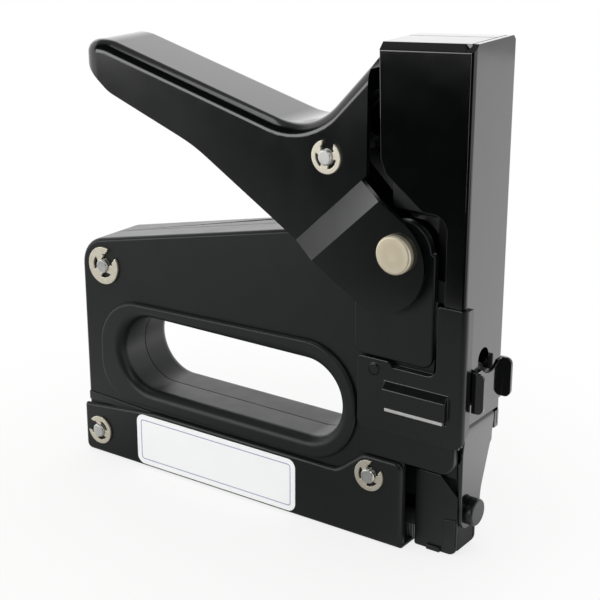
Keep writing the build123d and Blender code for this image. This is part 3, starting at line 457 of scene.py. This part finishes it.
def addSmallForm(name, form):
    bpy.ops.object.select_all(action="DESELECT")
    low, high = Vector(form["low"]) * mm, Vector(form["high"]) * mm
    middle = (low + high) / 2
    bpy.ops.mesh.primitive_cube_add(size=1)
    piece = bpy.context.object
    piece.name = name
    piece.scale = high - low
    piece.location = middle
    bpy.ops.object.transform_apply(location=True, rotation=False, scale=True)
    for point in piece.data.vertices:
        if point.co.x > middle.x and point.co.z > middle.z:
            point.co.z = form["frontHigh"] * mm
    bpy.ops.object.mode_set(mode="EDIT")
    bpy.ops.mesh.select_all(action="SELECT")
    bpy.ops.mesh.bevel(offset=form["round"] * mm, segments=roundSteps, affect="EDGES", clamp_overlap=True)
    bpy.ops.object.mode_set(mode="OBJECT")
    bpy.ops.object.shade_smooth_by_angle(angle=math.radians(meshWork["sharp"]))
    piece.data.materials.append(form["finish"])
    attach(piece, "frame")


for name, form in smallForms.items():
    addSmallForm(name, form)
print("small forms added")


# camera at the photo's angle: lens and place in mm, angles in degrees
shot = {"lens": 86.7, "sensor": 36.0, "place": (289.57, -381.02, 234.49), "azimuth": 35.2, "elevation": 18.96,
        "nearest": 20}


def addCamera(shot):
    camera = bpy.data.objects.new("camera", bpy.data.cameras.new("camera"))
    bpy.context.scene.collection.objects.link(camera)
    turn, rise = math.radians(shot["azimuth"]), math.radians(shot["elevation"])
    back = Vector((math.sin(turn) * math.cos(rise), -math.cos(turn) * math.cos(rise), math.sin(rise)))
    camera.location = Vector(shot["place"]) * mm
    camera.rotation_mode = "QUATERNION"
    camera.rotation_quaternion = (-back).to_track_quat("-Z", "Y")
    camera.data.sensor_width = shot["sensor"]
    camera.data.lens = shot["lens"]
    camera.data.clip_start = shot["nearest"] * mm
    bpy.context.scene.camera = camera


addCamera(shot)

# floor: a pale sheet that fades into the white background towards its rim; metal and gloss paint mirror it as a
# glow, brighter towards the rear, with a painted shadow that dims it under the tool: lengths in mm
floorSheet = {"rear": 900, "front": -240, "side": 620, "colour": "#f2f2f0", "rough": 0.9, "shine": 0.1,
              "clear": 90, "fade": 190, "shade": 0.78,
              "mirrorFront": -140, "mirrorRear": 110, "mirrorDark": 0.32, "mirrorBright": 1.6,
              # the last three set the painted shadow under the tool, as metal and gloss paint mirror it
              "underEnd": 50, "openStart": 130, "mirrorShadowLevel": 0.25}


def paperMaterial(sheet):
    material = bpy.data.materials.new("paperSweep")
    material.use_nodes = True
    tree = material.node_tree
    paper = tree.nodes["Principled BSDF"]
    paper.inputs["Base Color"].default_value = toLinear(sheet["colour"])
    paper.inputs["Roughness"].default_value = sheet["rough"]
    paper.inputs["Specular IOR Level"].default_value = sheet["shine"]
    place = addNode(tree, "ShaderNodeTexCoord").outputs["Object"]
    reach = addNode(tree, "ShaderNodeVectorMath", {"operation": "LENGTH"}, links={0: place})
    fade = addNode(tree, "ShaderNodeMapRange", {"interpolation_type": "SMOOTHSTEP"},
                   {"From Min": sheet["clear"] * mm, "From Max": sheet["fade"] * mm,
                    "To Min": sheet["shade"], "To Max": 1.0}, {"Value": reach.outputs["Value"]})
    ray = addNode(tree, "ShaderNodeLightPath")
    direct = addNode(tree, "ShaderNodeMath", {"operation": "MULTIPLY"},
                     links={0: fade.outputs["Result"], 1: ray.outputs["Is Camera Ray"]})
    seen = addNode(tree, "ShaderNodeMath", {"operation": "MAXIMUM"},
                   links={0: direct.outputs["Value"], 1: ray.outputs["Is Glossy Ray"]})
    axes = addNode(tree, "ShaderNodeSeparateXYZ", links={0: place})
    mirrored = addNode(tree, "ShaderNodeMapRange", {"interpolation_type": "SMOOTHSTEP"},
                       {"From Min": sheet["mirrorFront"] * mm, "From Max": sheet["mirrorRear"] * mm,
                        "To Min": sheet["mirrorDark"], "To Max": sheet["mirrorBright"]},
                       {"Value": axes.outputs["Y"]})
    # painted shadow: near the tool the floor's glow in reflections drops to the shadow level
    under = addNode(tree, "ShaderNodeMapRange", {"interpolation_type": "SMOOTHSTEP"},
                    {"From Min": sheet["underEnd"] * mm, "From Max": sheet["openStart"] * mm,
                     "To Min": sheet["mirrorShadowLevel"], "To Max": 1.0}, {"Value": reach.outputs["Value"]})
    shaded = addNode(tree, "ShaderNodeMath", {"operation": "MULTIPLY"},
                     links={0: mirrored.outputs["Result"], 1: under.outputs["Result"]})
    strength = addNode(tree, "ShaderNodeMix", {"data_type": "FLOAT"}, {"A": 1.0},
                       {"Factor": ray.outputs["Is Glossy Ray"], "B": shaded.outputs["Value"]})
    glow = addNode(tree, "ShaderNodeEmission", values={"Color": (1, 1, 1, 1)},
                   links={"Strength": strength.outputs["Result"]})
    mix = addNode(tree, "ShaderNodeMixShader", links={0: seen.outputs["Value"], 1: paper.outputs["BSDF"],
                                                      2: glow.outputs["Emission"]})
    tree.links.new(mix.outputs["Shader"], tree.nodes["Material Output"].inputs["Surface"])
    return material


def addFloor(sheet):
    bpy.ops.object.select_all(action="DESELECT")
    bpy.ops.mesh.primitive_plane_add(size=1, location=(0, 0, 0))
    floor = bpy.context.object
    floor.name = "floor"
    floor.scale = (2 * sheet["side"] * mm, (sheet["rear"] - sheet["front"]) * mm, 1)
    floor.location = (0, (sheet["rear"] + sheet["front"]) / 2 * mm, 0)
    bpy.ops.object.transform_apply(location=True, rotation=False, scale=True)
    floor.data.materials.append(paperMaterial(sheet))


addFloor(floorSheet)

# soft panels: size and place in mm, aimed at the tool's middle, with the brightness that a mirror would see
panels = {
    "backPanel": {"size": (1400, 800), "place": (-560, 820, 400), "bright": 0.65},
    "topPanel": {"size": (900, 260), "place": (-150, 60, 1000), "bright": 2.2},
    "frontPanel": {"size": (520, 320), "place": (-520, -760, 190), "bright": 3.8},
    "keyPanel": {"size": (320, 320), "place": (450, -620, 760), "bright": 3.0}}
toolMiddle = (0, 0, 80)


def addPanel(name, panel):
    width, height = (side * mm for side in panel["size"])
    light = bpy.data.lights.new(name, "AREA")
    light.shape = "RECTANGLE"
    light.size = width
    light.size_y = height
    light.energy = panel["bright"] * math.pi * width * height
    lamp = bpy.data.objects.new(name, light)
    bpy.context.scene.collection.objects.link(lamp)
    lamp.location = Vector(panel["place"]) * mm
    aim = Vector(toolMiddle) * mm - lamp.location
    lamp.rotation_euler = aim.to_track_quat("-Z", "Y").to_euler()
    lamp.visible_camera = False


for name, panel in panels.items():
    addPanel(name, panel)


# white room: even light, white to the eye and in reflections except behind the camera and, in part, overhead
room = {"even": 0.75, "dark": 0.01, "lean": (0, 1, -0.5), "darkEnd": -0.7, "brightEnd": -0.5, "ceilingLow": 0.5,
        "ceilingHigh": 0.72, "ceiling": 0.25}


def addRoom(room):
    world = bpy.data.worlds.new("whiteRoom")
    bpy.context.scene.world = world
    world.use_nodes = True
    tree = world.node_tree
    background = tree.nodes["Background"]
    background.inputs["Color"].default_value = (1, 1, 1, 1)
    way = addNode(tree, "ShaderNodeTexCoord").outputs["Generated"]
    lean = addNode(tree, "ShaderNodeVectorMath", {"operation": "DOT_PRODUCT"}, {1: room["lean"]}, {0: way})
    depth = addNode(tree, "ShaderNodeMapRange", {"interpolation_type": "SMOOTHSTEP"},
                    {"From Min": room["darkEnd"], "From Max": room["brightEnd"], "To Min": room["dark"],
                     "To Max": 1.0}, {"Value": lean.outputs["Value"]})
    axes = addNode(tree, "ShaderNodeSeparateXYZ", links={0: way})
    ceiling = addNode(tree, "ShaderNodeMapRange", {"interpolation_type": "SMOOTHSTEP"},
                      {"From Min": room["ceilingLow"], "From Max": room["ceilingHigh"], "To Min": 1.0,
                       "To Max": room["ceiling"]}, {"Value": axes.outputs["Z"]})
    mirrored = addNode(tree, "ShaderNodeMath", {"operation": "MULTIPLY"},
                       links={0: depth.outputs["Result"], 1: ceiling.outputs["Result"]})
    ray = addNode(tree, "ShaderNodeLightPath")
    glossy = addNode(tree, "ShaderNodeMix", {"data_type": "FLOAT"}, {"A": room["even"]},
                     {"Factor": ray.outputs["Is Glossy Ray"], "B": mirrored.outputs["Value"]})
    straight = addNode(tree, "ShaderNodeMath", {"operation": "MAXIMUM"},
                       links={0: ray.outputs["Is Camera Ray"], 1: ray.outputs["Is Transmission Ray"]})
    strength = addNode(tree, "ShaderNodeMix", {"data_type": "FLOAT"}, {"B": 1.0},
                       {"Factor": straight.outputs["Value"], "A": glossy.outputs["Result"]})
    tree.links.new(strength.outputs["Result"], background.inputs["Strength"])


addRoom(room)
bpy.context.scene.view_settings.view_transform = "Standard"
print("camera, floor and light set")
